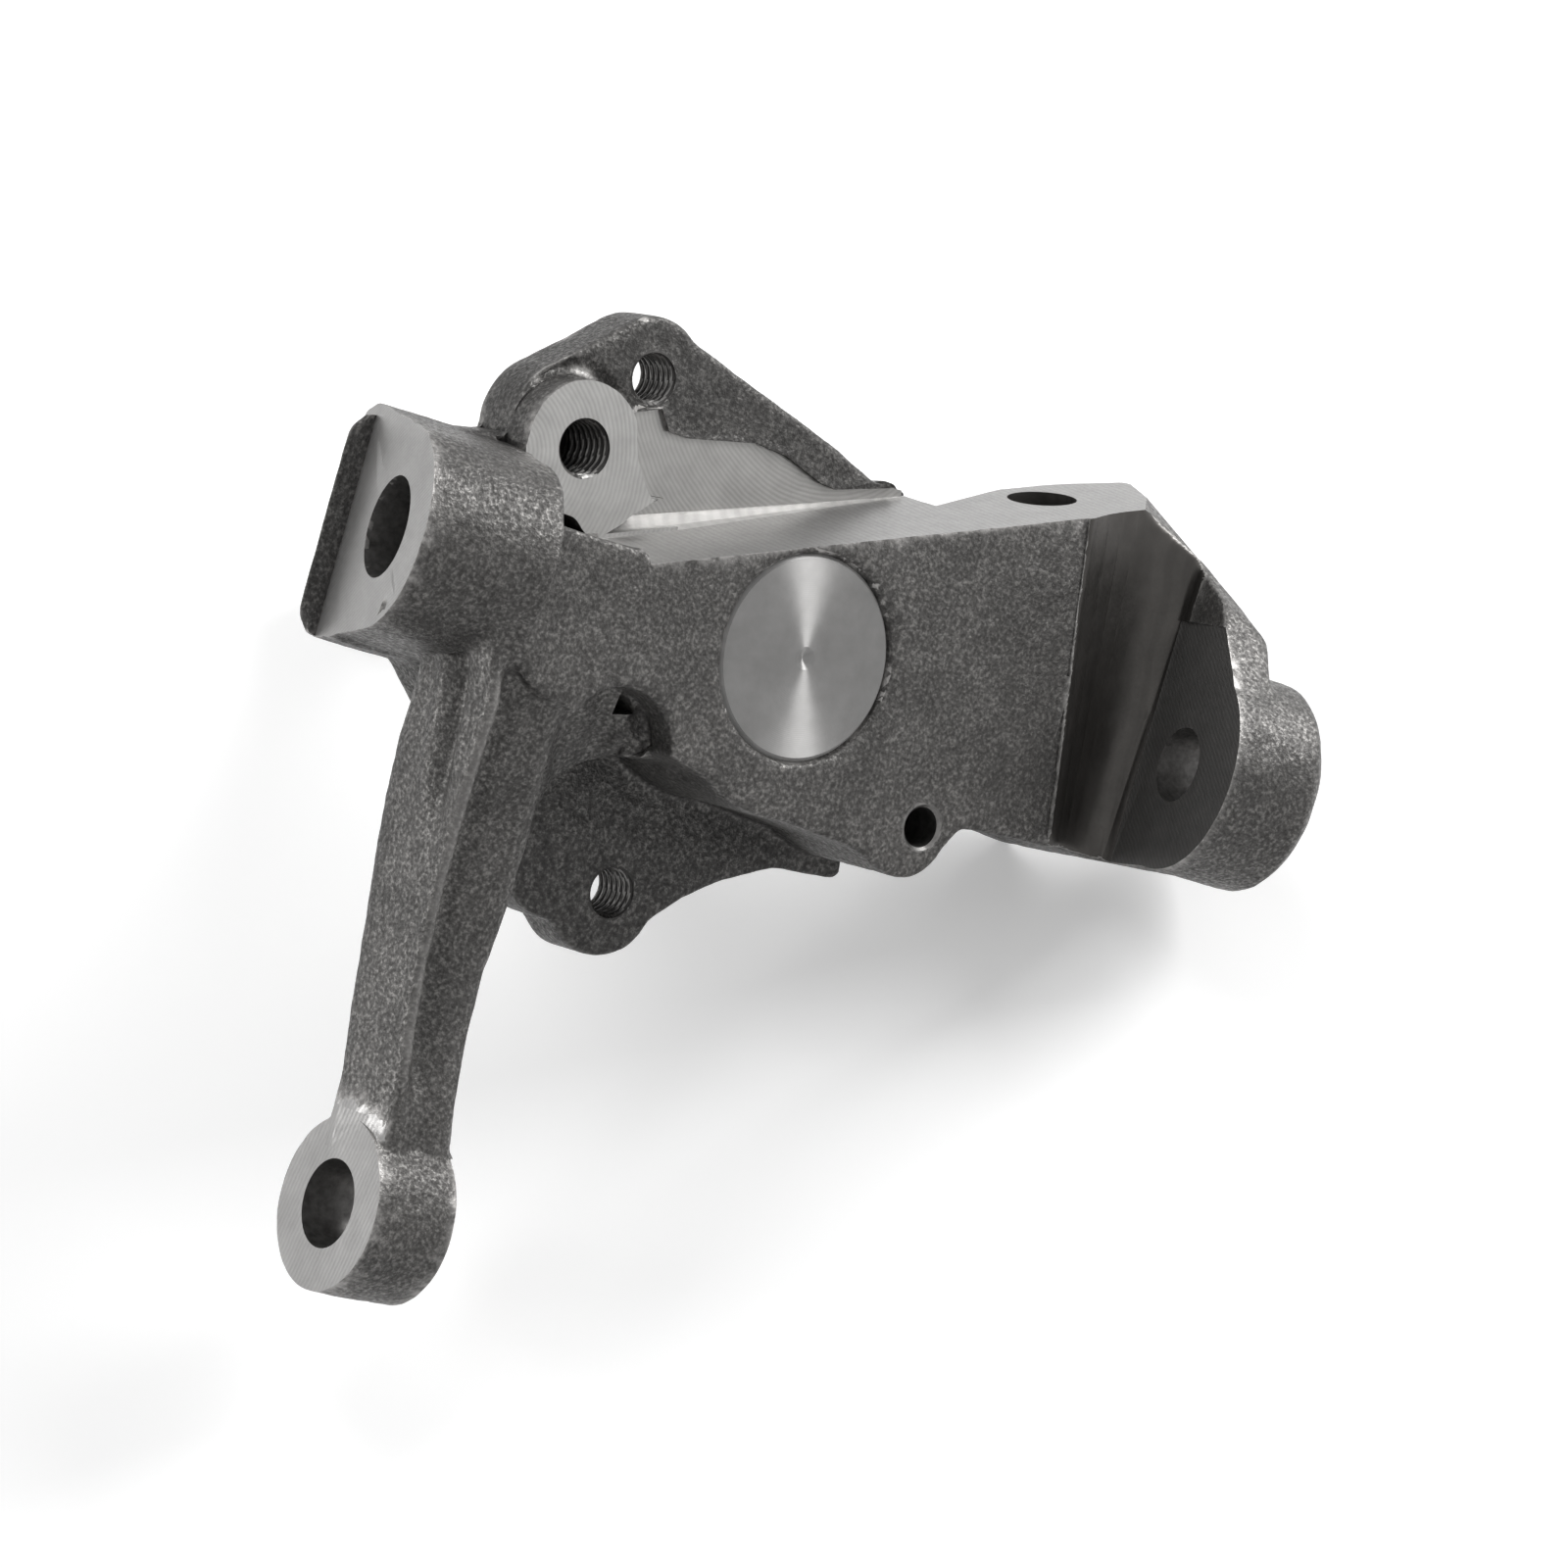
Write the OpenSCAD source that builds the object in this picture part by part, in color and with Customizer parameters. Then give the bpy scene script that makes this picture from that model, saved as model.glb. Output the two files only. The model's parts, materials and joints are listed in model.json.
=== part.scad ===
// Steering spindle of a car's front axle: a forged left-hand steering knuckle with a turned
// wheel pin pressed into it.
// Millimetres. X points forward, Y outboard along the wheel pin, Z up. The origin lies on the
// pin's axis at the shoulder that the inner wheel bearing sits against.

/* [Wheel pin] */
// Diameter of the pressed shank in the knuckle
shank_d = 38; // [34:0.5:42]
// Diameter of the collar that stops against the hub
collar_d = 46; // [42:1:54]
// Width of the collar
collar_w = 5; // [3:1:8]
// Diameter of the land for the oil seal
seal_d = 38; // [36:0.5:41]
// Width of the land for the oil seal
seal_w = 7; // [4:1:12]
// Diameter of the inner bearing seat
inner_seat_d = 31.75; // [28:0.25:35]
// Length of the inner bearing seat
inner_seat_len = 22; // [16:1:30]
// Length of the taper between the two seats
pin_taper_len = 32; // [15:1:45]
// Diameter of the outer bearing seat
outer_seat_d = 19.05; // [16:0.25:24]
// Length of the outer bearing seat
outer_seat_len = 16; // [10:1:24]
// Length of the threaded end
thread_len = 20; // [16:1:30]
// Diameter of the cotter pin hole
cotter_d = 3.8; // [2:0.1:5]

/* [Web and hub] */
// How far the web stands inboard of the pin's end
web_front = 1.2; // [0.5:0.1:3]
// Radius of the hub round the pin, seen from inboard
hub_r = 30; // [27:0.5:36]
// How far the hub stands outboard of the flange plate
hub_out = 8; // [3:1:12]
// Radius of the arch between the hub and the arm
arch_r = 11.7; // [8:0.1:14]
// Radius of the boss round the small hole in front of the pin
stop_boss_r = 10.6; // [8:0.2:14]
// Diameter of the small blind hole in front of the pin
stop_hole_d = 7.6; // [5:0.1:9]
// Depth of the small blind hole
stop_hole_depth = 18; // [8:1:24]
// Radius of the hub outboard of the plate, at its root
hub_base_r = 33; // [30:0.5:36]

/* [Flange plate] */
// Distance from the pin's inboard end to the plate's inboard face
plate_in = 28.5; // [24:0.5:32]
// Thickness of the plate
plate_t = 9.5; // [7:0.5:14]
// Radius of the circle that the three threaded holes lie on
bolt_circle_r = 51; // [48:0.5:54]
// Thread diameter of the upper and the front flange holes
flange_thread_d = 9.5; // [8:0.5:11]
// Thread diameter of the boss hole
boss_thread_d = 11.1; // [9.5:0.1:13]
// Distance from the pin's inboard end to the boss hole's machined face
boss_face = 21; // [18:0.5:24]
// Depth of the blind hole in the boss
boss_hole_depth = 15; // [10:1:16]

/* [Rear pad] */
// Angle of the machined rear pad from upright
pad_tilt = 19.5; // [15:0.5:25]
// Angle by which the pad also faces inboard
pad_lean = 4.5; // [0:0.5:8]
// Distance of the pad's inboard edge from the pin's axis
pad_off = 20.3; // [19.9:0.1:23]
// Diameter of the bolt hole through the pad
pad_hole_d = 13.4; // [10:0.1:15]

/* [Ball joints] */
// Angle of the ball joints' common axis from upright
kingpin_tilt = 12; // [8:0.5:15]
// Distance from the pin's axis down to the lower boss's machined face, along that axis
lower_face = 84.4; // [80:0.2:90]
// Length of the lower boss along that axis
lower_len = 25.5; // [22:0.5:30]
// Radius of the lower boss
lower_r = 18.5; // [16:0.5:22]
// Large diameter of the lower boss's tapered hole
lower_hole_d = 18.4; // [15:0.1:20]
// Distance from the pin's axis up to the upper boss's machined face, along that axis
upper_face = 80; // [76:0.2:86]
// Length of the upper boss along that axis
upper_len = 20.5; // [18:0.5:28]
// Radius of the upper boss
upper_r = 20.5; // [18:0.5:24]
// Small diameter of the upper boss's tapered hole
upper_hole_d = 14.4; // [12:0.1:17]
// Taper of the ball stud holes: diameter gained for each millimetre of length
stud_taper = 0.125; // [0.08:0.005:0.17]

/* [Steering arm] */
// Distance from the pin's axis forward to the tie rod hole
tie_fwd = 115.5; // [105:0.5:125]
// Height of the tie rod boss's lower face below the pin's axis
tie_down = 57; // [52:0.5:62]
// Thickness of the tie rod boss
tie_t = 16.5; // [15:0.5:22]
// Radius of the tie rod boss
tie_r = 15.8; // [13:0.2:19]
// Large diameter of the tie rod boss's tapered hole
tie_hole_d = 16; // [13:0.1:18]
// Width of the arm along the pin's axis
arm_w = 17; // [13:0.5:21]

/* [Hidden] */
round_fn = 96;
through = 60;
hub_end = plate_in + plate_t + hub_out;
shoulder_y = hub_end + collar_w + seal_w;
plate_out = plate_in + plate_t;
// The forged skin stands this much proud of the machined pocket in the plate
skin_t = 1;
plate_skin = plate_in - skin_t;
mouth_chamfer = 0.7;
hole_chamfer = 0.6;

// Where the ball joints' axis crosses the wheel pin's: along Y and X
kingpin_y = -0.9;
kingpin_x = -1;

// Flange holes as angles on the bolt circle, from straight up towards the rear
upper_hole_a = 125.3;
boss_hole_a = 150.6;
front_hole_a = 261.5;
function flange_at(a, r = bolt_circle_r) = [-r * sin(a), r * cos(a)];
upper_hole = flange_at(upper_hole_a);
boss_hole = flange_at(boss_hole_a);
front_hole = flange_at(front_hole_a);
upper_lobe_r = 11.5;
boss_lobe_r = 13.4;
front_lobe_r = 12.2;
boss_face_r = 12.4;
boss_lobe = [-27.5, -43.5];

// Small hole in front of the pin, and its boss
stop_hole = [23.5, 36];
stop_boss = [24.3, 33.2];

// Arch between the hub and the arm
arch_at = [26, -35];

// The tie rod hole lies this far outboard of the pin's inboard end
tie_out = 16;

// The pad's bolt hole: up along the pad, and outboard
pad_hole_up = 69;
pad_hole_out = 18.5;
// The pad's width and the height of the bevel that carries it up to the plate, at their two ends
pad_w_lo = 24.9;
pad_w_hi = 12.6;
bevel_lo = 2;
bevel_hi = 0.3;
// How deep the pad's bolt hole goes
pad_hole_depth = 28;
pad_start = -35;
pad_end = 43.8;

// Lower boss: flat side outboard of its hole, half widths there, and how far the plate hangs below
lower_flat = 20.4;
lower_flat_half = 21.8;
strip_drop = 4.2;
strip_half = 20.3;
strip_corner = 5;
// Upper boss: flat side of its machined face outboard of its hole
upper_flat = 13.2;

// Height of the plate's lower end, below the wheel pin's axis
strip_end = lower_face * cos(kingpin_tilt) - lower_flat * sin(kingpin_tilt) + strip_drop;

// Points along an arc in the plane
function arc(c, r, a0, a1, n) = [for (i = [0 : n]) c + r * [cos(a0 + (a1 - a0) * i / n), sin(a0 + (a1 - a0) * i / n)]];

// Solid through closed rings of 3-D points, all with the same number of points
module skin(rings) {
    n = len(rings[0]);
    m = len(rings);
    sides = [for (j = [0 : m - 2]) for (i = [0 : n - 1])
        let (k = (i + 1) % n) each [[j * n + i, (j + 1) * n + k, (j + 1) * n + i], [j * n + i, j * n + k, (j + 1) * n + k]]];
    ends = [[for (i = [n - 1 : -1 : 0]) i], [for (i = [0 : n - 1]) (m - 1) * n + i]];
    polyhedron([for (r = rings) each r], concat(sides, ends), convexity = 8);
}

// Children drawn in X and Z, extruded along Y between two depths
module along_y(y0, y1) {
    translate([0, y1, 0]) rotate([90, 0, 0]) linear_extrude(y1 - y0) children();
}

// Cylinder along Y between two depths at a place in X and Z
module rod_y(at, d, y0, y1) {
    translate([at[0], y0, at[1]]) rotate([-90, 0, 0]) cylinder(d = d, h = y1 - y0, $fn = round_fn);
}

// Countersink at a hole's mouth, opening inboard at depth y
module mouth_y(at, d, y, c) {
    translate([at[0], y - c, at[1]]) rotate([-90, 0, 0])
        cylinder(d1 = d + 4 * c, d2 = d, h = 2 * c, $fn = round_fn);
}

// Frame of the ball joints' axis: Z runs up along it from the wheel pin's axis
module on_kingpin() {
    translate([kingpin_x, kingpin_y, 0]) rotate([kingpin_tilt, 0, 0]) children();
}

// Frame of the rear pad: X runs up along it, Y outboard, Z out of it to the rear
module on_pad() {
    on_rear() rotate([pad_lean, 0, 0]) children();
}

// The same frame before the pad leans: its Y stays along the wheel pin
module on_rear() {
    rotate([0, -90 - pad_tilt, 0]) translate([0, -web_front, pad_off]) children();
}

// Web round the pin with the bridge down to the lower boss, seen from inboard
function web_outline() = concat(
    [[-9.5, -70], [8, -68], [16, -62], [20, -54], [21, -47.5]],
        arc(arch_at, arch_r, 250, 100, 12),
    arc([0, 0], hub_r, -31, 10, 6),
    [[30.8, 22]],
    arc(stop_boss, stop_boss_r - 1, -12, 78, 6),
    [[22, 45.5], [21.3, 50], [20.5, crease_z(20.5) + 2], [-50, crease_z(-50) + 2]],
    [[-28, 10], [-19.5, -14], [-12.5, -33], [-9.5, -43.5]]);

module web() {
    along_y(-web_front, plate_in + 1) polygon(web_outline());
}

// The flange plate with its three lobes, seen from inboard
module plate_2d() {
    translate(upper_hole) circle(r = upper_lobe_r, $fn = round_fn);
    translate(boss_lobe) circle(r = boss_lobe_r, $fn = round_fn);
    polygon([upper_hole, boss_lobe, boss_lobe + boss_lobe_r * [-0.82, -0.57], upper_hole + upper_lobe_r * [-0.82, -0.57]]);
    polygon([boss_lobe, [-24, -56.5], [-strip_half, -strip_end + strip_corner], [0, -60]]);
    translate(front_hole + [0.3, -1.2]) circle(r = front_lobe_r, $fn = round_fn);
    translate([45, -20]) circle(r = 13.5, $fn = round_fn);
    circle(r = 36, $fn = round_fn);
    polygon([[-50.9, -23.3], [-40.8, 16.2], [-37.1, 26.7], [-37.4, 36], [0, 36], [0, -50], [-27, -44]]);
    polygon([[58, -18], [55, 2], [48.3, 9], [43.2, 17], [38.3, 28], [37.2, 44], [0, 36], [0, -30]]);
    polygon([[57, -26], [46, -33.5], [20, -62], [0, -62], [-20, -62], [0, 0]]);
    strip_2d();
}

// Lower end of the plate with its rounded corners
module strip_2d() {
    h = strip_half - strip_corner;
    for (x = [-h, h]) translate([x, -strip_end + strip_corner]) circle(r = strip_corner, $fn = round_fn);
    translate([-h, -strip_end]) square([2 * h, 20]);
    translate([-strip_half, -strip_end + strip_corner]) square([2 * strip_half, 20]);
}

module plate() {
    along_y(plate_skin, plate_out) plate_2d();
}

// Raised face round the rear flange hole
module boss_pad() {
    along_y(boss_face, plate_in) {
        translate(boss_hole) circle(r = boss_face_r, $fn = round_fn);
        polygon([[-35.5, -37.8], [-31.5, -34], [-24, -20], [-16, -20], [-10, -34], [-10.5, -39], [-17, -50], [-22, -56]]);
    }
}

// Lower ball joint boss, round inboard and flat where it meets the plate
module lower_boss() {
    on_kingpin() translate([0, 0, -lower_face]) {
        linear_extrude(lower_len) lower_2d();
    }
}

module lower_2d() {
    circle(r = lower_r, $fn = round_fn);
    polygon([[-lower_r, -1], [-lower_flat_half, lower_flat], [-lower_flat_half + 2, lower_flat + 6],
             [lower_flat_half - 2, lower_flat + 6], [lower_flat_half, lower_flat], [lower_r, -1]]);
}

// Neck that leans inboard to the upper ball joint boss
module neck() {
    hull() {
        for (x = [-50, 19]) {
            translate([x, 0.2, crease_z(x) - 0.3]) cube([1, 1, 0.3]);
            translate([x, plate_in - 1, crease_z(x) - 6]) cube([1, 1, 6]);
        }
        for (c = [[66, 1], [89, 12], [95, 24], [78, 29]]) on_pad() translate([c[0] - 1, c[1], -0.5]) cube(1);
        for (c = [[17.6, 1, 66], [18.9, 13, 77], [20.7, 26, 79]]) translate(c - [0, 0, 1]) cube(1);
        on_kingpin() translate([0, 0, upper_face - 0.5]) cylinder(r = upper_r - 0.8, h = 9, $fn = 48);
        on_kingpin() translate([-26.5, -4, upper_face + 3]) cube([46.5, 16, 7]);
    }
}

// Slanted cut that narrows the neck's outboard side where it leaves the plate
module neck_waist() {
    reach = 40;
    function ring(u, v) = [[u, v - 1, 1], [u, v + reach, 1], [u, v + reach, -reach]];
    on_pad() skin([ring(pad_end + 1.6, 21.2), ring(pad_end + 32, 32.4)]);
}

// Upper ball joint boss with its rounded rim
module upper_boss() {
    c = 2.5;
    on_kingpin() {
        translate([0, 0, upper_face - 1]) cylinder(r = upper_r, h = upper_len - c + 1, $fn = round_fn);
        translate([0, 0, upper_face + upper_len - c]) cylinder(r1 = upper_r, r2 = upper_r - c, h = c, $fn = round_fn);
    }
}

// Height at which the web's face ends and the recess begins, at a place along X
function crease_z(x) = 63.5 + 0.197 * x;

// Space inboard of the neck for the ball stud's nut and wrench
module nut_recess() {
    function profile(z0, flat) =
        let (a = [-web_front - 2, z0 - 3], b = upper_flat_at(flat), c = [6, (z0 + b[1]) / 2 + 3], n = 8)
        concat([upper_flat_at(-60)],
               [for (i = [n : -1 : 0]) let (t = i / n) (1 - t) * (1 - t) * a + 2 * t * (1 - t) * c + t * t * b],
               [[-70, z0 - 12]]);
    function at_x(pts, x) = [for (p = pts) [x, p[0], p[1]]];
    skin([for (r = [[-62, upper_flat - 1.2], [32, upper_flat + 2]]) at_x(profile(crease_z(r[0]), r[1]), r[0])]);
}

// A place on the upper boss's machined face: Y and Z at a distance outboard of its hole
function upper_flat_at(e) = [kingpin_y - upper_face * sin(kingpin_tilt) + e * cos(kingpin_tilt),
                             upper_face * cos(kingpin_tilt) + e * sin(kingpin_tilt)];

// Steering arm: rows are the share of its length, the inboard face, the low and top edges measured
// from a straight line between its root and the tie rod boss's lower face, and the width it gains
arm_root = [2, -57];
arm_len = tie_fwd - arm_root[0] - 9.5;
arm_rows = [
    [0, -1.2, -13, 13, 0], [0.1154, -1.2, -11, 12, 4.6], [0.2019, -0.6, -8.8, 11, 6.4],
    [0.2981, 1.6, -7.8, 12.4, 6.2], [0.4135, 5, -5.8, 15.4, 4.8], [0.5288, 7, -4.4, 16.4, 2.6],
    [0.6538, 7.6, -3.2, 15.6, 0.9], [0.7692, 7, -2.2, 15.6, 0.7], [0.8846, 5.4, -1, 16, 1.2],
    [1, 4.6, -0.4, 17, 1.2]];

module arm() {
    function section(r) = let (x = arm_root[0] + arm_len * r[0], z = (1 - r[0]) * arm_root[1] - r[0] * tie_down,
                               y0 = r[1], y1 = r[1] + arm_w + r[4], lo = z + r[2], hi = z + r[3]) [
        [x, y0 + 1.6, lo + 2], [x, y0 + 0.6, lo + 3.4], [x, y0 + 1.2, lo + 6], [x, y0 + 2.2, lo + 9],
        [x, y0 + 1, hi - 4], [x, y0 + 2, hi - 1], [x, y0 + 4.5, hi],
        [x, y1 - 4, hi], [x, y1 - 1, hi - 1.2], [x, y1, hi - 4],
        [x, y1, lo + 3], [x, y1 - 1, lo + 0.4], [x, y1 - 3.5, lo], [x, y0 + 4, lo + 1.2]];
    skin([for (r = arm_rows) section(r)]);
}

module tie_boss() {
    translate([tie_fwd, tie_out, -tie_down]) cylinder(r = tie_r, h = tie_t, $fn = round_fn);
}

// Hub outboard of the plate that the pin is pressed into, tapered by the forging's draft
module hub() {
    draft = 4;
    translate([0, plate_out - 1, 0]) rotate([-90, 0, 0])
        cylinder(r1 = hub_base_r, r2 = hub_base_r - draft, h = hub_out + 1, $fn = round_fn);
}

// Bevel that rises from the pad to the plate, wider and lower towards the top
module bevel() {
    on_pad() skin([bevel_ring(pad_start + 4.5, pad_w_lo, bevel_lo), bevel_ring(pad_end + 0.8, pad_w_hi, bevel_hi)]);
}

function bevel_ring(u, w, h) =
    let (e = plate_in + web_front)
    [for (p = [[w, -4], [w, 0], [e, h], [e + 0.6, h], [e + 0.6, -4]]) [u, p[0], p[1]]];

// Milled plane of the rear pad; its lower corner ends short of the raised boss face
module pad_cut() {
    reach = 3 * through;
    corner = [pad_start + 4, 21.8];
    on_pad() linear_extrude(through) polygon([[pad_start, -through], [reach, -through], [reach, reach],
        [corner[0], reach], corner, [pad_start, corner[1]]]);
}

// Milled pocket in the plate's inboard face, and the plate's end above the pad
module pocket_cut() {
    pocket_top = 12;
    on_rear() {
        translate([0, pocket_top, 0]) rotate([-90, 0, 0])
            linear_extrude(plate_in + web_front - pocket_top) mirror([0, 1]) pocket_2d();
        translate([pad_end, -through, 2.2]) cube([through, 2 * through, through]);
    }
}

// Outline of the pocket: up along the pad, and out from it
module pocket_2d() {
    polygon(concat([[pad_end + 2, 2.2], [-29, 2.4], [-16.2, 7.9]],
        arc([-1, 19], 21, 212, 170, 6),
        [[-12, 23.2], [-10.5, 18.9], [-6, 17.3], [9.4, 15.3], [16.1, 12.4], [24.1, 6.7], [27.5, 5.3],
         [pad_end + 2, 4.3]]));
}

module knuckle_solid() {
    difference() {
        union() {
            difference() {
                union() {
                    web();
                    neck();
                }
                pad_cut();
                neck_waist();
            }
            plate();
            boss_pad();
            lower_boss();
            upper_boss();
            arm();
            tie_boss();
            hub();
        }
        pocket_cut();
        nut_recess();
        lower_face_cut();
    }
    bevel();
}

// Milled face of the lower boss, which leaves the plate's end standing
module lower_face_cut() {
    on_kingpin() translate([-through, -through, -lower_face - through])
        cube([2 * through, through + lower_flat, through]);
}

module bores() {
    rod_y([0, 0], shank_d, -web_front - 1, hub_end + 1);
    translate([0, -web_front - 0.01, 0]) rotate([-90, 0, 0])
        cylinder(d1 = shank_d + 2 * mouth_chamfer, d2 = shank_d, h = mouth_chamfer + web_front, $fn = round_fn);
    for (h = [upper_hole, front_hole]) {
        rod_y(h, flange_thread_d - 1, plate_skin - 1, plate_out + 1);
        mouth_y(h, flange_thread_d - 1, plate_skin, hole_chamfer);
    }
    rod_y(boss_hole, boss_thread_d - 1.4, boss_face - 1, boss_face + boss_hole_depth);
    mouth_y(boss_hole, boss_thread_d - 1.4, boss_face, hole_chamfer);
    rod_y(stop_hole, stop_hole_d, -web_front - 1, stop_hole_depth - web_front);
    mouth_y(stop_hole, stop_hole_d, -web_front, hole_chamfer);
    on_pad() translate([pad_hole_up, pad_hole_out, -pad_hole_depth])
        cylinder(d = pad_hole_d, h = pad_hole_depth + through, $fn = round_fn);
    on_kingpin() {
        stud_hole(-lower_face, lower_len, lower_hole_d, -stud_taper);
        stud_hole(upper_face, upper_len, upper_hole_d, stud_taper);
    }
    translate([tie_fwd, tie_out, -tie_down]) stud_hole(0, tie_t, tie_hole_d, -stud_taper);
}

// Tapered hole for a ball stud from z0 up, with diameter d at z0
module stud_hole(z0, len, d, taper) {
    translate([0, 0, z0 - 1]) cylinder(d1 = d - taper, d2 = d + taper * (len + 1), h = len + 2, $fn = round_fn);
}

module knuckle() {
    color("dimgray") translate([0, -shoulder_y, 0]) difference() {
        knuckle_solid();
        bores();
    }
}

// Half section of the wheel pin: radius and distance from its inboard end
function pin_profile() =
    let (y1 = hub_end, y2 = y1 + collar_w, y3 = shoulder_y, y4 = y3 + inner_seat_len,
         y5 = y4 + pin_taper_len, y6 = y5 + outer_seat_len, y7 = y6 + thread_len,
         rs = shank_d / 2, rc = collar_d / 2, ri = inner_seat_d / 2, ro = outer_seat_d / 2, c = 0.8)
    [[0, 0], [rs - c, 0], [rs, c], [rs, y1], [rc - c, y1], [rc, y1 + c], [rc, y2 - c], [rc - c, y2],
     [seal_d / 2, y2], [seal_d / 2, y3 - c], [seal_d / 2 - c, y3], [ri, y3], [ri, y4], [ri - 0.6, y4 + 0.6],
     [ro + 0.8, y5 - 1], [ro, y5], [ro, y6], [ro - 0.5, y6 + 0.8], [ro - 0.25, y6 + 1.6], [ro - 0.25, y7 - 2],
     [ro - 2, y7], [0, y7]];

module spindle_pin() {
    end_y = shoulder_y + inner_seat_len + pin_taper_len + outer_seat_len + thread_len;
    color("silver") translate([0, -shoulder_y, 0]) difference() {
        rotate([-90, 0, 0]) rotate_extrude($fn = round_fn) polygon(pin_profile());
        translate([-through / 2, end_y - thread_len * 0.35, 0]) rotate([0, 90, 0]) cylinder(d = cotter_d, h = through, $fn = 48);
    }
}

knuckle();
spindle_pin();
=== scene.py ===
import json
import math
import bmesh
import bpy
import numpy as np
from mathutils import Matrix, Vector

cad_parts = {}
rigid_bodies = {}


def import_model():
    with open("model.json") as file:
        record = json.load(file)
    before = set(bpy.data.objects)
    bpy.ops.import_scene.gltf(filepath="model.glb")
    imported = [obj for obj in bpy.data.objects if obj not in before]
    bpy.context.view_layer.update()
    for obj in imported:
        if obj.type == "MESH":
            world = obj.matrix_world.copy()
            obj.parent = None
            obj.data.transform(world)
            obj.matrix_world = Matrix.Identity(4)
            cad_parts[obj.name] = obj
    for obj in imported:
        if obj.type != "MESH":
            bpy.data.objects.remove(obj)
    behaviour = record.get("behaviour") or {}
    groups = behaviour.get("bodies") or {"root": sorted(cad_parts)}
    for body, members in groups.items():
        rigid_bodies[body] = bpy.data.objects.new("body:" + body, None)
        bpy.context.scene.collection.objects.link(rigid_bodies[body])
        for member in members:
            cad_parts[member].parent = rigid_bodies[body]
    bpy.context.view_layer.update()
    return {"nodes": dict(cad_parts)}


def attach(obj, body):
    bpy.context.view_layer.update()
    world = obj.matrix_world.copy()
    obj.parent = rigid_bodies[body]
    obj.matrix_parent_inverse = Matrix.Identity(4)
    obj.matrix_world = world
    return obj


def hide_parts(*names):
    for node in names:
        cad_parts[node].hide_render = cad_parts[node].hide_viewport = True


MM = 0.001
SEED = 7

for leftover in list(bpy.data.objects):
    bpy.data.objects.remove(leftover)

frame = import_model()

# Places of the machined features, in millimetres in the row frame
SHOULDER = 58.0
KINGPIN_TILT = math.radians(12)
KINGPIN_AXIS = np.array([0, -math.sin(KINGPIN_TILT), math.cos(KINGPIN_TILT)])
KINGPIN_AT = np.array([-1, -0.9 - SHOULDER, 0])
PAD_TILT = math.radians(19.5)
PAD_LEAN = math.radians(4.5)
PAD_UP = np.array([-math.sin(PAD_TILT), 0, math.cos(PAD_TILT)])
REAR_OUT = np.array([-math.cos(PAD_TILT), 0, -math.sin(PAD_TILT)])
PAD_SIDE = math.cos(PAD_LEAN) * np.array([0, 1, 0]) + math.sin(PAD_LEAN) * REAR_OUT
PAD_OUT = math.cos(PAD_LEAN) * REAR_OUT - math.sin(PAD_LEAN) * np.array([0, 1, 0])
PAD_AT = np.array([0, -1.2 - SHOULDER, 0]) + 20.3 * REAR_OUT
UPPER_HOLE = (-41.62, -29.47)
BOSS_HOLE = (-25.04, -44.43)
FRONT_HOLE = (50.44, -7.54)
STOP_HOLE = (23.5, 36.0)
TIE_AT = np.array([115.5, -42.0, -57.0])

# How far the round machined faces reach from the axis of their hole
UPPER_REACH = 27
TIE_REACH = 18.5

# The bevelled step between the pad and the pocket: its ends along the pad, and two points of its edge
BEVEL_ENDS = (-31, 48)
BEVEL_EDGE = ((-30.5, 24.9), (47.3, 12.2))

# The crease between the web and the neck: its height at X 0, and how much it climbs per millimetre
CREASE_Z = 63.5
CREASE_CLIMB = 0.197

# What the rough forging has more than the machined knuckle
STOCK = 1.5
HOLE_STOCK = 0.7
VOXEL = 0.45
FORGING_TRIANGLES = 165000

# Forged faces of a larger area than this, in square metres, get no rubbed steel and no painted edge
# highlight
WIDE_FACE = 3 * MM * MM

# Threaded holes: radius of the bore, and the groove's inner radius, outer radius and pitch
FLANGE_BORE = 4.25
BOSS_BORE = 4.85
FLANGE_THREAD = (4.27, 4.95, 1.5875)
BOSS_THREAD = (4.87, 5.6, 1.814)

# Flat machined faces: a point and the outward normal
FLATS = {
    "boss": (np.array([0, -37.0, 0]), np.array([0, -1.0, 0])),
    "pocket": (np.array([0, -29.5, 0]), np.array([0, -1.0, 0])),
    "pad": (PAD_AT, PAD_OUT),
    "lower": (KINGPIN_AT - 84.4 * KINGPIN_AXIS, -KINGPIN_AXIS),
    "upper": (KINGPIN_AT + 80.0 * KINGPIN_AXIS, -KINGPIN_AXIS),
    "tie": (TIE_AT, np.array([0, 0, -1.0])),
    "tie_top": (TIE_AT + np.array([0, 0, 16.5]), np.array([0, 0, 1.0])),
    "flange": (np.array([0, -20.0, 0]), np.array([0, 1.0, 0])),
    "hub_end": (np.array([0, -12.0, 0]), np.array([0, 1.0, 0])),
}


def at_y(place, y):
    """A place in X and Z with its depth."""
    return np.array([place[0], y, place[1]])


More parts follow.
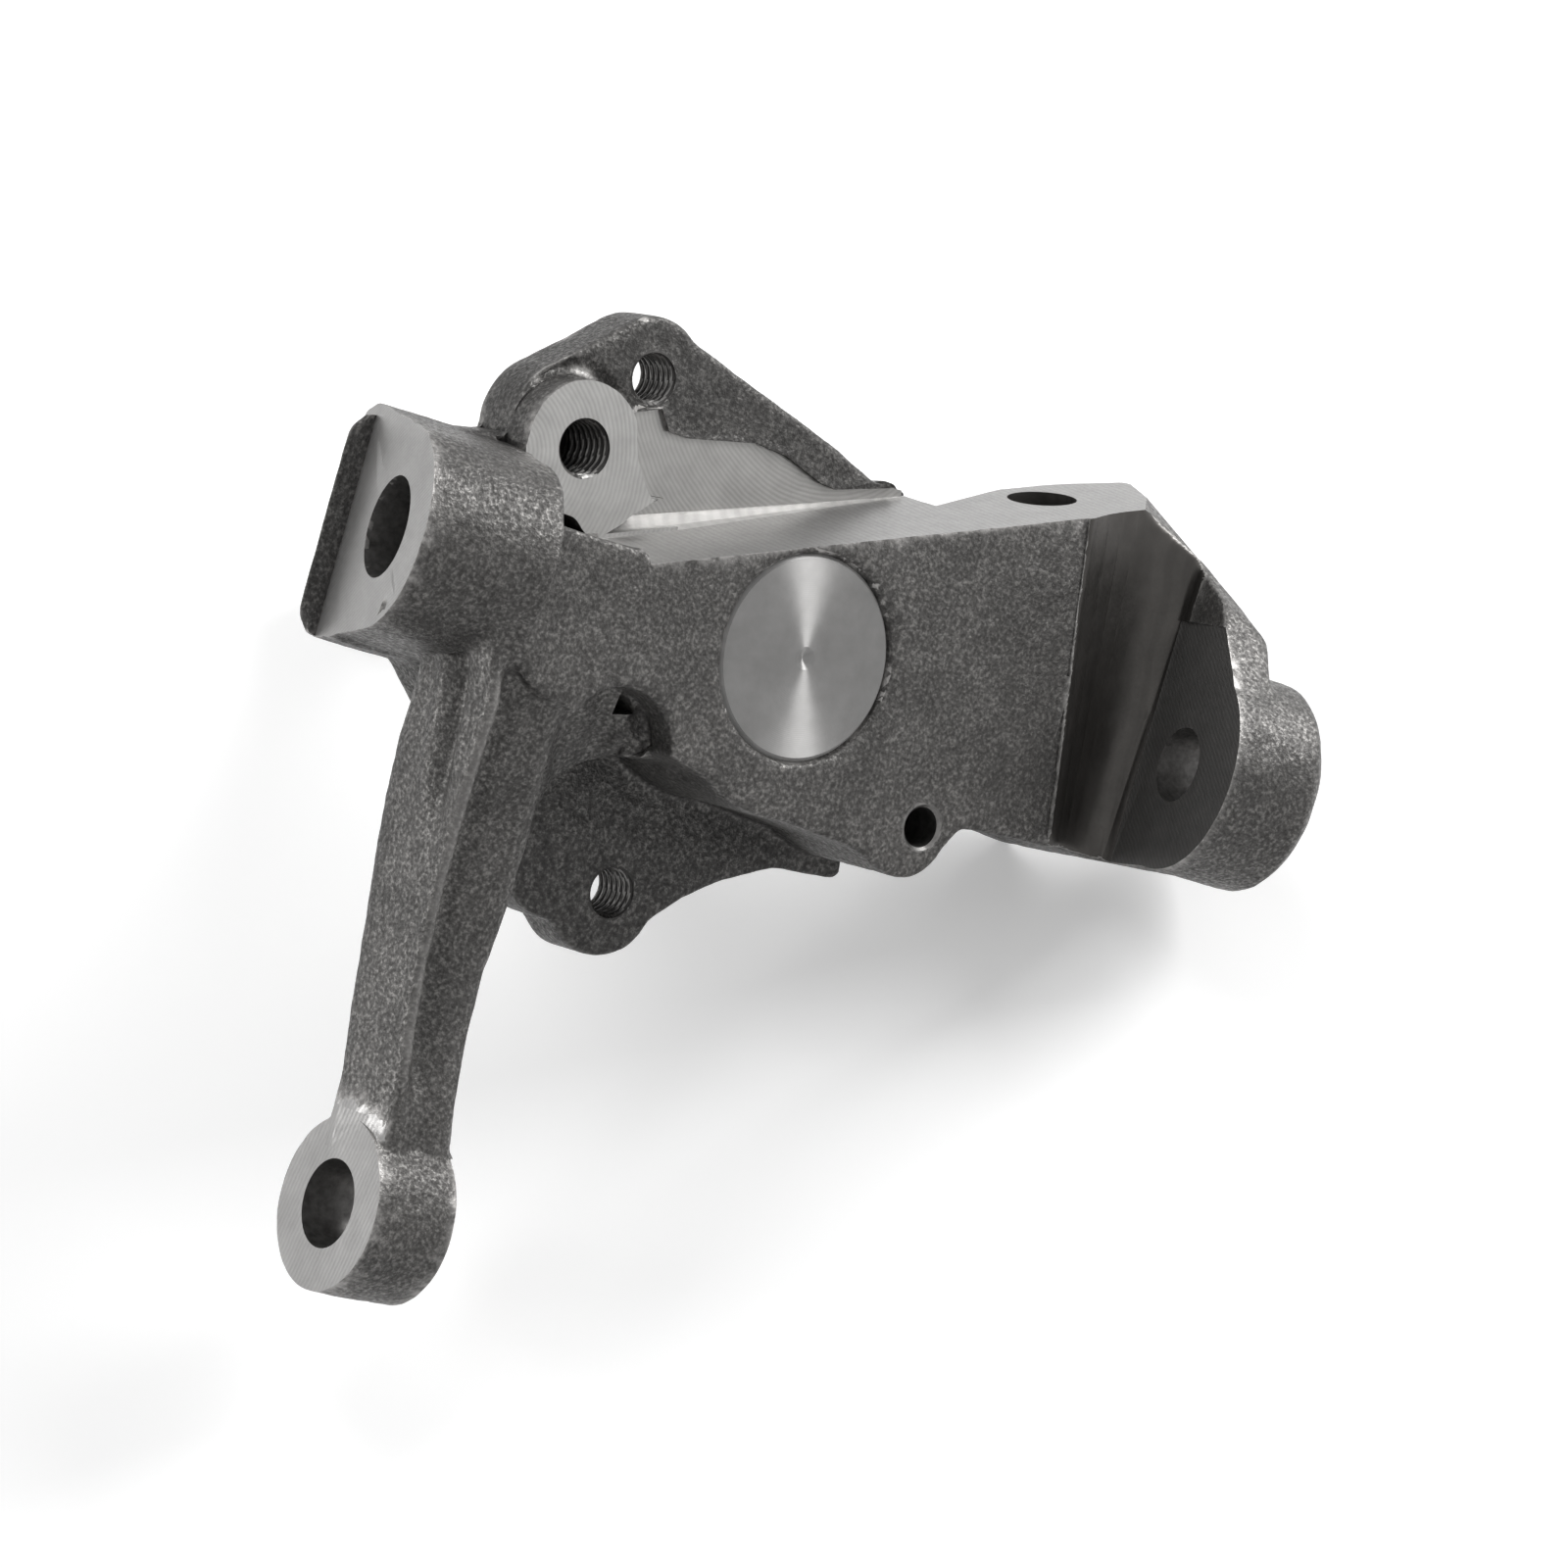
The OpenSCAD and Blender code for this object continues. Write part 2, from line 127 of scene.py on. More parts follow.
# Holes: a point on the axis, the axis, the radius of the wall and the stretch along the axis
ALONG_Y = np.array([0, 1.0, 0])
HOLES = [
    (at_y((0, 0), -58), ALONG_Y, 19.0, 2, 50),
    (at_y(UPPER_HOLE, -31), ALONG_Y, FLANGE_BORE, -2, 14),
    (at_y(FRONT_HOLE, -31), ALONG_Y, FLANGE_BORE, -2, 14),
    (at_y(BOSS_HOLE, -37), ALONG_Y, BOSS_BORE, -2, 16),
    (at_y(STOP_HOLE, -59.2), ALONG_Y, 3.8, -2, 19),
    (PAD_AT + 69 * PAD_UP + 18.5 * PAD_SIDE, PAD_OUT, 6.7, -29, 2),
    (KINGPIN_AT, KINGPIN_AXIS, 8.4, -88, -57),
    (KINGPIN_AT, KINGPIN_AXIS, 7.9, 78, 103),
    (TIE_AT, np.array([0, 0, 1.0]), 7.5, -2, 19),
]


# Mesh tools

def new_object(name, verts, faces):
    mesh = bpy.data.meshes.new(name)
    mesh.from_pydata([tuple(map(float, v)) for v in verts], [], faces)
    mesh.validate()
    obj = bpy.data.objects.new(name, mesh)
    bpy.context.scene.collection.objects.link(obj)
    return obj


def read(items, key, width, kind=np.float32):
    """One value of each item as an array; a value with more than one number makes a row."""
    values = np.empty(len(items) * width, kind)
    items.foreach_get(key, values)
    return values.reshape(-1, width) if width > 1 else values


def coords(mesh):
    return read(mesh.vertices, "co", 3).astype(float)


def set_coords(mesh, co):
    mesh.vertices.foreach_set("co", co.astype(np.float32).ravel())
    mesh.update()


def vertex_normals(mesh):
    return read(mesh.vertex_normals, "vector", 3).astype(float)


def edge_pairs(mesh):
    return read(mesh.edges, "vertices", 2, np.int32)


def apply_modifiers(obj):
    """The object's mesh becomes what its modifiers make of it."""
    graph = bpy.context.evaluated_depsgraph_get()
    mesh = bpy.data.meshes.new_from_object(obj.evaluated_get(graph))
    obj.modifiers.clear()
    if "custom_normal" in mesh.attributes:
        mesh.attributes.remove(mesh.attributes["custom_normal"])
    old = obj.data
    obj.data = mesh
    bpy.data.meshes.remove(old)


def weld(obj):
    """Joins the vertices that share a place."""
    mod = obj.modifiers.new("weld", "WELD")
    mod.merge_threshold = 1e-6
    apply_modifiers(obj)


def remesh(obj, size_mm):
    mod = obj.modifiers.new("remesh", "REMESH")
    mod.mode = "VOXEL"
    mod.voxel_size = size_mm * MM
    apply_modifiers(obj)


def decimate(obj, triangles):
    count = sum(len(p.vertices) - 2 for p in obj.data.polygons)
    if count <= triangles:
        return
    mod = obj.modifiers.new("decimate", "DECIMATE")
    mod.ratio = triangles / count
    apply_modifiers(obj)


def add_body(obj, other):
    """Puts another object's mesh beside the object's own."""
    bm = bmesh.new()
    bm.from_mesh(obj.data)
    bm.from_mesh(other.data)
    bm.to_mesh(obj.data)
    bm.free()
    bpy.data.objects.remove(other)


def cut(obj, cutter):
    mod = obj.modifiers.new("cut", "BOOLEAN")
    mod.operation = "DIFFERENCE"
    mod.solver = "MANIFOLD"
    mod.object = cutter
    apply_modifiers(obj)
    bpy.data.objects.remove(cutter)


def smooth(mesh, weight, rounds, keep_size=False):
    """Laplacian smoothing, each vertex moved by its own weight; keep_size undoes the shrinking."""
    co = coords(mesh)
    pairs = edge_pairs(mesh)
    count = len(co)
    degree = np.bincount(pairs.ravel(), minlength=count).clip(1)[:, None]
    for step in range(rounds):
        pull = -0.52 if keep_size and step % 2 else 0.5
        total = np.empty_like(co)
        for axis in range(3):
            total[:, axis] = (np.bincount(pairs[:, 0], co[pairs[:, 1], axis], count)
                              + np.bincount(pairs[:, 1], co[pairs[:, 0], axis], count))
        co += pull * weight[:, None] * (total / degree - co)
    set_coords(mesh, co)


def waves(co, lengths, seed):
    """Smooth noise between -1 and 1 made of sine waves; co and lengths are in millimetres."""
    rng = np.random.default_rng(seed)
    total = np.zeros(len(co))
    for length in lengths:
        for _ in range(6):
            direction = rng.normal(size=3)
            direction /= np.linalg.norm(direction)
            total += np.sin(co @ direction * 2 * math.pi / length + rng.uniform(0, 2 * math.pi))
    return total / (6 * len(lengths)) ** 0.5 / 1.5


def steps(x, low, high):
    """Goes smoothly from 0 at low to 1 at high."""
    t = ((x - low) / (high - low)).clip(0, 1)
    return t * t * (3 - 2 * t)


# What is machined on the knuckle

def kingpin_distance(co):
    """Distance in millimetres from each place to the line through both ball joints."""
    return np.linalg.norm(np.cross(co - KINGPIN_AT, KINGPIN_AXIS), axis=1)


def flat_masks(co, normals, reach):
    """For each flat face, which of the places lie on it; co is in millimetres."""
    found = {}
    for name, (point, out) in FLATS.items():
        found[name] = (abs((co - point) @ out) < reach) & (normals @ out > 0.96)
    found["upper"] &= kingpin_distance(co) < UPPER_REACH
    round_tie = np.hypot(co[:, 0] - TIE_AT[0], co[:, 1] - TIE_AT[1]) < TIE_REACH
    point, out = FLATS["tie"]
    low_spot = (abs((co - point) @ out) < 1.6) & (normals @ out > 0.7)
    found["tie"] = round_tie & (found["tie"] | low_spot)
    found["tie_top"] &= round_tie
    above_lower_boss = co[:, 2] > -66
    found["flange"] &= above_lower_boss
    return found


def hole_distance(co):
    """Distance in millimetres from each place to the nearest hole's wall."""
    best = np.full(len(co), 99.0)
    for point, axis, radius, start, end in HOLES:
        along = (co - point) @ axis
        across = np.linalg.norm(np.cross(co - point, axis), axis=1)
        away = np.maximum(abs(across - radius), np.maximum(start - along, along - end))
        best = np.minimum(best, away)
    return best


def pad_frame(co):
    """How far each place lies up along the pad, across it and out of it."""
    away = co - PAD_AT
    return away @ PAD_UP, away @ PAD_SIDE, away @ PAD_OUT


def near_bevel(co, spare=0.0):
    """The step between the pad and the pocket, widened by spare millimetres."""
    up, across, out = pad_frame(co)
    (low_up, low_across), (high_up, high_across) = BEVEL_EDGE
    edge = low_across + (high_across - low_across) * (up - low_up) / (high_up - low_up)
    along = (up > BEVEL_ENDS[0] - spare) & (up < BEVEL_ENDS[1])
    return along & (across > edge - spare) & (across < 30.5) & (out > -0.2 - spare) & (out < 2.6)


def boss_foot(co):
    """The foot of the front boss, beside the pad."""
    up, across, out = pad_frame(co)
    return (abs(up + 18) < 16) & (abs(across - 22) < 9.5) & (abs(out - 6) < 5.5)


def recess_mask(co, normals):
    """The hollow for the nut between the web and the upper boss."""
    over_crease = co[:, 2] > CREASE_Z + CREASE_CLIMB * co[:, 0] - 0.6
    under_boss = (co - KINGPIN_AT) @ KINGPIN_AXIS < 80.3
    inboard = (co[:, 1] > -66) & (co[:, 1] < -25)
    faces_in = (abs(normals[:, 0]) < 0.5) & (normals[:, 1] < 0.4)
    return over_crease & under_boss & inboard & faces_in


def tube_faces(rings, around):
    """Faces of a closed tube made of rings of corners."""
    faces = []
    for j in range(rings - 1):
        for i in range(around):
            k = (i + 1) % around
            faces.append((j * around + i, (j + 1) * around + i, (j + 1) * around + k, j * around + k))
    faces.append(tuple(range(around)))
    faces.append(tuple(reversed(range((rings - 1) * around, rings * around))))
    return faces


def helix_rod(name, at, thread, y0, y1):
    """Rod along Y with a thread between y0 and y1 and plain ends."""
    inner, outer, pitch = thread
    around = 72
    per_turn = 10
    rows = int((y1 - y0) / pitch * per_turn) + 1
    verts = []
    for j in range(rows + 1):
        y = y0 + (y1 - y0) * j / rows
        for i in range(around):
            turn = ((y - y0) / pitch - i / around) % 1
            ridge = min(1.0, max(0.0, 1.6 * (1 - abs(2 * turn - 1)) - 0.3))
            plain = j in (0, rows)
            r = inner if plain else inner + (outer - inner) * ridge
            a = 2 * math.pi * i / around
            verts.append((at[0] + r * math.cos(a), y, at[1] + r * math.sin(a)))
    return new_object(name, np.array(verts) * MM, tube_faces(rows + 1, around))


def on_flat(co, name, reach=0.02):
    """Which of the places lie in the plane of a machined face, near that face."""
    point, out = FLATS[name]
    found = abs((co - point) @ out) < reach
    if name in ("tie", "tie_top"):
        found &= co[:, 0] > 97
    if name == "upper":
        found &= kingpin_distance(co) < UPPER_REACH
    if name == "boss":
        found &= np.hypot(co[:, 0] - BOSS_HOLE[0], co[:, 2] - BOSS_HOLE[1]) < 30
    return found


def leave_stock(mesh):
    """Moves the machined faces out and narrows the holes, as rough forgings are before machining."""
    co = coords(mesh) / MM
    moved = co.copy()
    for name, (point, out) in FLATS.items():
        moved[on_flat(co, name)] += STOCK * out
    moved[near_bevel(co, 0.4)] += STOCK * PAD_OUT
    for point, axis, radius, start, end in HOLES:
        along = (co - point) @ axis
        outward = co - point - along[:, None] * axis
        across = np.linalg.norm(outward, axis=1)
        wall = (abs(across - radius) < 1.3) & (along > start - 1.5) & (along < end + 1.5)
        moved[wall] -= HOLE_STOCK * outward[wall] / across[wall][:, None]
    set_coords(mesh, moved * MM)


def block(name, at, x_dir, y_dir, z_dir, low, high):
    """Box between two corners given in its own axes, all in millimetres."""
    axes = np.array([x_dir, y_dir, z_dir], float)
    corners = [(x, y, z) for x in (low[0], high[0]) for y in (low[1], high[1]) for z in (low[2], high[2])]
    verts = (np.array(corners) @ axes + at) * MM
    faces = [(0, 1, 3, 2), (4, 6, 7, 5), (0, 4, 5, 1), (2, 3, 7, 6), (0, 2, 6, 4), (1, 5, 7, 3)]
    obj = new_object(name, verts, faces)
    if np.linalg.det(axes) < 0:
        obj.data.flip_normals()
    return obj


def sharp_cut(obj, solid, space):
    """Cuts away what stands out of the CAD solid inside a box, which leaves crisp machined faces."""
    mod = space.modifiers.new("free", "BOOLEAN")
    mod.operation = "DIFFERENCE"
    mod.solver = "MANIFOLD"
    mod.object = solid
    apply_modifiers(space)
    cut(obj, space)


def arch_wall():
    """The wall inside the arch, from behind the web's face down to a ledge in front of the plate."""
    front_y = 8.5 - SHOULDER
    back_y = 18.5 - SHOULDER
    inside = [(12, -48), (8, -35), (12, -22)]
    front = [(24, -14), (25.6, -22.9), (21.4, -24.2), (17.6, -26.6), (14.1, -35), (17.6, -43.4), (22, -46.3)]
    back = [(26.3, -14), (26.2, -20.7), (27.4, -24), (29, -27.2), (33.5, -33), (39.8, -34.6), (38, -47)]
    verts = [(x, front_y, z) for x, z in front + inside] + [(x, back_y, z) for x, z in back + inside]
    count = len(front + inside)
    faces = [tuple(range(count)), tuple(reversed(range(count, 2 * count)))]
    for i in range(count):
        k = (i + 1) % count
        faces.append((i, count + i, count + k, k))
    obj = new_object("arch_wall", np.array(verts) * MM, faces)
    bm = bmesh.new()
    bm.from_mesh(obj.data)
    bmesh.ops.recalc_face_normals(bm, faces=bm.faces)
    bmesh.ops.triangulate(bm, faces=bm.faces)
    bm.to_mesh(obj.data)
    bm.free()
    return obj


def machine(obj, solid):
    """Cuts every machined face and hole back to the CAD solid, and breaks the plate's upper front corner."""
    ex, ey, ez = np.eye(3)
    side = np.cross(KINGPIN_AXIS, ex)
    origin = np.zeros(3)
    spaces = [
        block("pad", PAD_AT, PAD_UP, PAD_SIDE, PAD_OUT, (-34.6, -4, -29.4), (97, 31.6, 26)),
        block("boss", origin, ex, ey, ez, (-39, -41, -59), (-10.2, -21.6, -31)),
        block("lower", KINGPIN_AT, ex, side, KINGPIN_AXIS, (-26, -26, -88), (26, 25, -83.6)),
        block("upper", KINGPIN_AT, ex, side, KINGPIN_AXIS, (-27, -24, 60), (24, 34, 80.4)),
        block("lower_hole", KINGPIN_AT, ex, side, KINGPIN_AXIS, (-11, -11, -86), (11, 11, -57)),
        block("upper_hole", KINGPIN_AT, ex, side, KINGPIN_AXIS, (-9.5, -9.5, 79), (9.5, 9.5, 103)),
        block("tie_hole", TIE_AT, ex, ey, ez, (-10, -10, -3), (10, 10, 20)),
        block("stop_hole", at_y(STOP_HOLE, -59.2), ex, ey, ez, (-5.5, -2, -5.5), (5.5, 20, 5.5)),
        block("pin_hole", origin, ex, ey, ez, (-21, -61, -21), (21, -11, 21)),
        block("upper_flange", at_y(UPPER_HOLE, -31), ex, ey, ez, (-6, -1, -6), (6, 13, 6)),
        block("front_flange", at_y(FRONT_HOLE, -31), ex, ey, ez, (-6, -1, -6), (6, 13, 6)),
        block("tie", TIE_AT, ex, ey, ez, (-17, -20, -3), (18, 20, 0.5)),
        block("tie_top", TIE_AT, ex, ey, ez, (-13, -20, 16), (18, 20, 20)),
        block("flange", origin, ex, ey, ez, (-60, -20.6, -92), (70, -10, 60)),
    ]
    for space in spaces:
        sharp_cut(obj, solid, space)
    corner_at = np.array([37.2, 0, 44])
    corner_out = np.array([0.62, 0, 0.785])
    corner_side = np.cross(corner_out, ey)
    cut(obj, block("corner", corner_at, ey, corner_side, corner_out, (-35, -9, -1.7), (-15, 9, 6)))


# The low edge of the steering arm: places along X and their heights
ARM_X = (2, 14, 23, 33, 45, 57, 70, 82, 94, 106)
ARM_LOW = (-70, -68, -65.8, -64.8, -62.8, -61.4, -60.2, -59.2, -58, -57.4)


def bump_at(x, middle, half):
    """A round ridge of height 1 at the middle."""
    return np.exp(-((x - middle) / half) ** 2)


def forging_marks(co, normals):
    """Ridge and valley along the arm, the groove at its root and the scoop beside the boss face."""
    low = np.interp(co[:, 0], ARM_X, ARM_LOW)
    along = steps(co[:, 0], 12, 24) * steps(98 - co[:, 0], 0, 14)
    inboard = steps(-normals[:, 1], 0.2, 0.7) * steps(-38 - co[:, 1], 0, 6)
    height = co[:, 2] - low
    marks = along * inboard * (1.5 * bump_at(height, 3.2, 1.3) - 2.2 * bump_at(height, 7.0, 1.9))
    under = steps(-normals[:, 2], 0.3, 0.8) * steps(co[:, 0], 8, 14) * steps(56 - co[:, 0], 0, 26)
    marks -= 2.4 * under * bump_at(co[:, 1], -49.2 + 0.05 * (co[:, 0] - 23), 1.9)
    marks += 0.6 * under * bump_at(co[:, 1], -45 + 0.05 * (co[:, 0] - 23), 1.6)
    boss_x = co[:, 0] - BOSS_HOLE[0]
    boss_z = co[:, 2] - BOSS_HOLE[1]
    away = np.hypot(boss_x, boss_z)
    turn = np.arctan2(boss_z, boss_x)
    scoop = steps(-normals[:, 1], 0.5, 0.9) * steps(co[:, 1], -31.5, -31) * bump_at(abs(turn), 2.75, 0.65)
    marks -= 1.3 * scoop * bump_at(away, 14.0, 1.5)
    return marks


def forged_knuckle():
    """A rough forging made from the CAD knuckle, and then machined and threaded."""
    source = frame["nodes"]["knuckle"]
    solid = bpy.data.objects.new("cad_solid", source.data.copy())
    obj = bpy.data.objects.new("forging", source.data.copy())
    for made in (solid, obj):
        bpy.context.scene.collection.objects.link(made)
    weld(solid)
    leave_stock(obj.data)
    add_body(obj, arch_wall())
    remesh(obj, VOXEL)
    mesh = obj.data
    co = coords(mesh) / MM
    weight = steps(hole_distance(co), 0.3, 1.1)
    smooth(mesh, weight, 18)
    co = coords(mesh) / MM
    arm = steps(co[:, 0], 24, 34) * steps(101 - co[:, 0], 0, 8)
    smooth(mesh, weight * arm, 60, keep_size=True)
    co = coords(mesh) / MM
    normals = vertex_normals(mesh)
    dents = 0.10 * (waves(co, (23, 14, 8), SEED) - 1) + 0.05 * (waves(co, (4.5, 3), SEED + 1) - 1)
    co += (weight * (dents + forging_marks(co, normals)))[:, None] * normals
    set_coords(mesh, co * MM)
    decimate(obj, FORGING_TRIANGLES)
    machine(obj, solid)
    bpy.data.objects.remove(solid)
    for name, place in (("upper", UPPER_HOLE), ("front", FRONT_HOLE)):
        cut(obj, helix_rod(name, place, FLANGE_THREAD, -31.6, -18.6))
    cut(obj, helix_rod("boss", BOSS_HOLE, BOSS_THREAD, -38.2, -24.0))
    return obj


# Materials

class Nodes:
    """A material's node tree with short calls to add and link nodes."""

    def __init__(self, name):
        self.material = bpy.data.materials.new(name)
        self.material.use_nodes = True
        self.tree = self.material.node_tree
        self.shader = self.tree.nodes["Principled BSDF"]

    def add(self, kind, **settings):
        node = self.tree.nodes.new(kind)
        for key, value in settings.items():
            setattr(node, key, value)
        return node

    def link(self, source, target):
        self.tree.links.new(source, target)

    def place(self, scale, turn=(0, 0, 0), shift=(0, 0, 0)):
        """Object coordinates in units of scale millimetres."""
        here = self.add("ShaderNodeTexCoord")
        mapping = self.add("ShaderNodeMapping")
        mapping.inputs["Location"].default_value = shift
        mapping.inputs["Rotation"].default_value = turn
        mapping.inputs["Scale"].default_value = (1 / (scale * MM),) * 3
        self.link(here.outputs["Object"], mapping.inputs["Vector"])
        return mapping.outputs["Vector"]

    def noise(self, size, detail=3, rough=0.6):
        node = self.add("ShaderNodeTexNoise")
        node.inputs["Scale"].default_value = 1
        node.inputs["Detail"].default_value = detail
        node.inputs["Roughness"].default_value = rough
        self.link(self.place(size), node.inputs["Vector"])
        return node.outputs["Fac"]

    def ramp(self, source, stops):
        """Turns a value into the colours or greys of the stops."""
        node = self.add("ShaderNodeValToRGB")
        ramp = node.color_ramp
        while len(ramp.elements) < len(stops):
            ramp.elements.new(0.5)
        for element, (where, value) in zip(ramp.elements, stops):
            element.position = where
            rgb = value if isinstance(value, tuple) else (value,) * 3
            element.color = (*rgb, 1)
        self.link(source, node.inputs["Fac"])
        return node.outputs["Color"]

    def math(self, operation, a, b):
        node = self.add("ShaderNodeMath", operation=operation)
        for socket, value in zip(node.inputs, (a, b)):
            if isinstance(value, (int, float)):
                socket.default_value = value
            else:
                self.link(value, socket)
        return node.outputs[0]

    def mix(self, fac, a, b, blend="MIX"):
        node = self.add("ShaderNodeMix", data_type="RGBA", blend_type=blend)
        for socket, value in ((node.inputs[0], fac), (node.inputs[6], a), (node.inputs[7], b)):
            if isinstance(value, (int, float, tuple)):
                socket.default_value = value
            else:
                self.link(value, socket)
        return node.outputs[2]

    def bump(self, height, distance, strength=1.0, under=None):
        node = self.add("ShaderNodeBump")
        node.inputs["Distance"].default_value = distance * MM
        node.inputs["Strength"].default_value = strength
        self.link(height, node.inputs["Height"])
        if under is not None:
            self.link(under, node.inputs["Normal"])
        return node.outputs["Normal"]

    def mottle(self, size, dark, light):
        """A base colour that drifts between two tones."""
        self.link(self.ramp(self.noise(size), [(0.3, dark), (0.7, light)]), self.shader.inputs["Base Color"])

    def steel(self, metallic, rough):
        """One metallic value and one roughness all over."""
        self.shader.inputs["Metallic"].default_value = metallic
        self.shader.inputs["Roughness"].default_value = rough


SCALE_DARK = (0.042, 0.040, 0.038)
SCALE_GREY = (0.082, 0.079, 0.076)
SCALE_LIGHT = (0.19, 0.184, 0.176)
# Pale rubbed steel, also used as painted highlight on edges
RUBBED_STEEL_AND_HIGHLIGHT = (0.36, 0.35, 0.34, 1)


def forged_material():
    """Forging skin: specks and patches, painted shade that darkens the plate, and pale rubbed steel that
    also serves as painted highlight on edges.
    """
    m = Nodes("forged_steel")
    grain = m.noise(0.75, 3, 0.6)
    patches = m.noise(9, 3, 0.6)
    specks = m.ramp(grain, [(0.34, SCALE_DARK), (0.52, SCALE_GREY), (0.68, SCALE_LIGHT)])
    tone = m.ramp(patches, [(0.3, 0.72), (0.7, 1.1)])
    base = m.mix(1.0, specks, tone, "MULTIPLY")
    # Painted shade: forged faces at Y above -31 mm, the plate behind the web, are darkened to 0.68 of their
    # colour.
    depth = m.add("ShaderNodeSeparateXYZ")
    m.link(m.place(1000), depth.inputs["Vector"])
    behind = m.ramp(m.math("ADD", depth.outputs["Y"], 0.5), [(0.462, 1.0), (0.469, 0.68)])
    base = m.mix(1.0, base, behind, "MULTIPLY")
    geometry = m.add("ShaderNodeNewGeometry")
    fine = m.add("ShaderNodeAttribute", attribute_name="fine")
    # Rubbed steel and painted highlight: sharp convex places of small forged faces, and edges where milled
    # faces end, take the pale colour.
    convex_wear_and_highlight = m.ramp(geometry.outputs["Pointiness"], [(0.52, 0.0), (0.59, 1.0)])
    convex_wear_and_highlight = m.math("MULTIPLY", convex_wear_and_highlight, fine.outputs["Fac"])
    edge_wear_and_highlight = m.add("ShaderNodeAttribute", attribute_name="wear_and_highlight")
    broken_wear_and_highlight = m.math("MULTIPLY", edge_wear_and_highlight.outputs["Fac"], m.ramp(m.noise(2.2), [(0.38, 0.25), (0.55, 0.95)]))
    wear_and_highlight = m.math("MAXIMUM", convex_wear_and_highlight, broken_wear_and_highlight)
    m.link(m.mix(wear_and_highlight, base, RUBBED_STEEL_AND_HIGHLIGHT), m.shader.inputs["Base Color"])
    m.shader.inputs["Metallic"].default_value = 0.55
    m.link(m.ramp(grain, [(0.35, 0.60), (0.65, 0.36)]), m.shader.inputs["Roughness"])
    pits = m.bump(grain, 0.25, 0.9)
    m.link(m.bump(m.noise(2.6, 3, 0.5), 0.35, 0.6, pits), m.shader.inputs["Normal"])
    return m.material


def milled_material(name, colour, rough, pitch, depth, turn=(0, 0, 0), rings_at=None):
    """Cutter lines turned by degrees, or rings round a point; pitch, depth and point are in millimetres."""
    m = Nodes(name)
    wave = m.add("ShaderNodeTexWave", wave_type="RINGS" if rings_at else "BANDS")
    if rings_at:
        wave.rings_direction = "Y"
    wave.inputs["Scale"].default_value = 1
    wave.inputs["Distortion"].default_value = 2.5
    wave.inputs["Detail"].default_value = 2
    wave.inputs["Detail Scale"].default_value = 0.6
    scale = pitch * 3.2
    shift = tuple(-c / scale for c in rings_at or (0, 0, 0))
    m.link(m.place(scale, tuple(math.radians(a) for a in turn), shift), wave.inputs["Vector"])
    cloud = m.noise(6, 3, 0.6)
    fine = m.noise(0.5, 2, 0.6)
    tint = m.ramp(cloud, [(0.3, tuple(0.82 * c for c in colour)), (0.7, colour)])
    lines = m.ramp(wave.outputs["Fac"], [(0.15, 0.88), (0.75, 1.0)])
    m.link(m.mix(1.0, tint, lines, "MULTIPLY"), m.shader.inputs["Base Color"])
    m.shader.inputs["Metallic"].default_value = 0.85
    m.link(m.ramp(fine, [(0.3, rough - 0.05), (0.7, rough + 0.08)]), m.shader.inputs["Roughness"])
    m.link(m.bump(wave.outputs["Fac"], depth, 0.7), m.shader.inputs["Normal"])
    return m.material


# Near-black colour of the thread roots: painted shade of the grooves
def thread_root_shade_material():
    m = Nodes("thread_root_shade")
    m.mottle(1.5, (0.020, 0.019, 0.018), (0.04, 0.038, 0.036))
    m.steel(0.5, 0.5)
    return m.material


def bore_material():
    m = Nodes("bored_steel")
    m.mottle(1.5, (0.10, 0.097, 0.094), (0.20, 0.195, 0.19))
    m.steel(0.85, 0.38)
    return m.material


def turned_material():
    """Steel turned about Y, whose fine rings pull the highlight out into a bow tie."""
    m = Nodes("turned_steel")
    wave = m.add("ShaderNodeTexWave", wave_type="RINGS", rings_direction="Y")
    wave.inputs["Scale"].default_value = 1
    wave.inputs["Distortion"].default_value = 0.3
    m.link(m.place(1.1), wave.inputs["Vector"])
    m.mottle(5, (0.25, 0.247, 0.243), (0.29, 0.287, 0.283))
    m.steel(1.0, 0.5)
    m.shader.inputs["Anisotropic"].default_value = 0.95
    m.shader.inputs["Anisotropic Rotation"].default_value = 0.25
    tangent = m.add("ShaderNodeTangent", direction_type="RADIAL", axis="Y")
    m.link(tangent.outputs["Tangent"], m.shader.inputs["Tangent"])
    m.link(m.bump(wave.outputs["Fac"], 0.012, 0.6), m.shader.inputs["Normal"])
    return m.material


LIGHT_STEEL = (0.33, 0.325, 0.32)
FORGED = forged_material()
BORED = bore_material()
GROOVE_SHADE = thread_root_shade_material()

